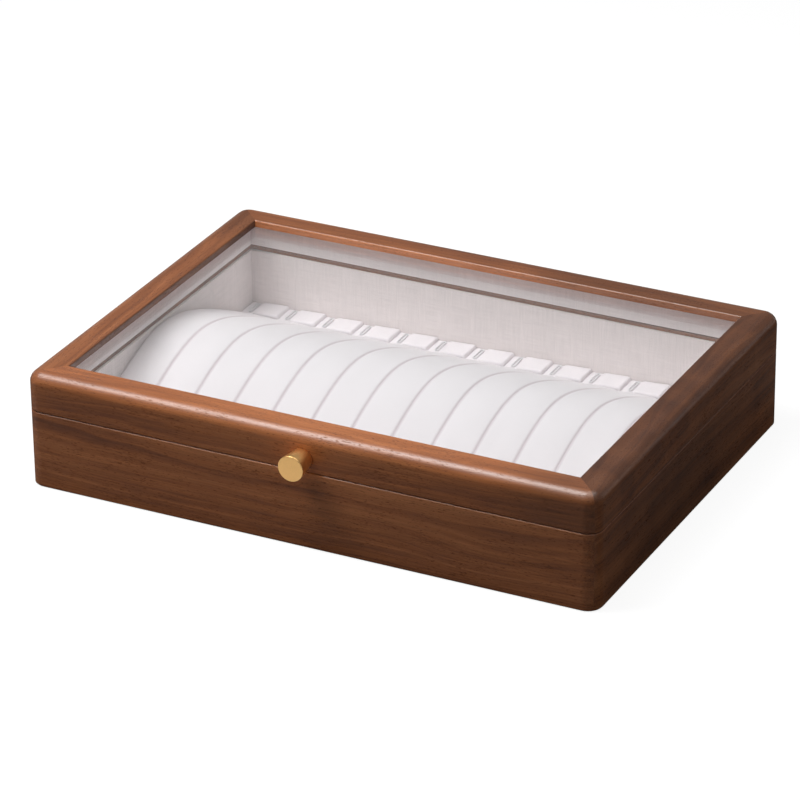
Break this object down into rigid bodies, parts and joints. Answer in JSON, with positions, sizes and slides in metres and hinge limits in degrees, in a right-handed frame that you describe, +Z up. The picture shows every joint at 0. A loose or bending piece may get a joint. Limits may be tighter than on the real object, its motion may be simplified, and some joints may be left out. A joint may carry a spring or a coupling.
{
  "type": "necklace box",
  "caption": "Flat walnut case with a glazed hinged lid, rounded edges, a conical brass knob and a ribbed white pad with clasp tabs for laying out necklaces.",
  "frame": {"origin": "centre of the case's underside, on the surface that it stands on", "axes": "+X to the right seen from the front, +Y towards the hinges at the rear, +Z up"},
  "size_m": [0.35, 0.277, 0.07],
  "materials": {
    "walnut": "satin oiled walnut with straight grain along each board",
    "bottom_board": "plain stained board, matt",
    "linen": "fine off-white linen glued on card",
    "velvet": "short-pile white velvet, soft sheen",
    "elastic": "fine white elastic cord",
    "glass": "clear float glass, polished",
    "knob_brass": "satin brushed brass",
    "hinge_brass": "satin brass plate",
    "steel": "plain machine screw steel"
  },
  "bodies": {
    "base": {"base_front": "walnut", "base_rear": "walnut", "base_left": "walnut", "base_right": "walnut", "base_lining_front": "linen", "base_lining_rear": "linen", "base_lining_left": "linen", "base_lining_right": "linen", "bottom_panel": "bottom_board", "insert_board": "velvet", "necklace_pad": "velvet", "clasp_rail": "velvet", "clasp_loop_01": "elastic", "clasp_loop_02": "elastic", "clasp_loop_03": "elastic", "clasp_loop_04": "elastic", "clasp_loop_05": "elastic", "clasp_loop_06": "elastic", "clasp_loop_07": "elastic", "clasp_loop_08": "elastic", "clasp_loop_09": "elastic", "clasp_loop_10": "elastic", "clasp_loop_11": "elastic", "clasp_loop_12": "elastic", "clasp_loop_13": "elastic", "hinge_leaf_base_left": "hinge_brass", "hinge_pin_left": "hinge_brass", "hinge_screw_base_left_a": "hinge_brass", "hinge_screw_base_left_b": "hinge_brass", "hinge_leaf_base_right": "hinge_brass", "hinge_pin_right": "hinge_brass", "hinge_screw_base_right_a": "hinge_brass", "hinge_screw_base_right_b": "hinge_brass"},
    "lid": {"lid_front": "walnut", "lid_rear": "walnut", "lid_left": "walnut", "lid_right": "walnut", "lid_lining_front": "linen", "lid_lining_rear": "linen", "lid_lining_left": "linen", "lid_lining_right": "linen", "glass_pane": "glass", "knob": "knob_brass", "knob_screw": "steel", "hinge_leaf_lid_left": "hinge_brass", "hinge_screw_lid_left_a": "hinge_brass", "hinge_screw_lid_left_b": "hinge_brass", "hinge_leaf_lid_right": "hinge_brass", "hinge_screw_lid_right_a": "hinge_brass", "hinge_screw_lid_right_b": "hinge_brass"}
  },
  "joints": [
    {"name": "lid_hinge", "type": "hinge", "parent": "base", "child": "lid", "pos_m": [0, 0.1305, 0.04675], "axis": [-1, 0, 0], "range_deg": [0, 95]}
  ]
}
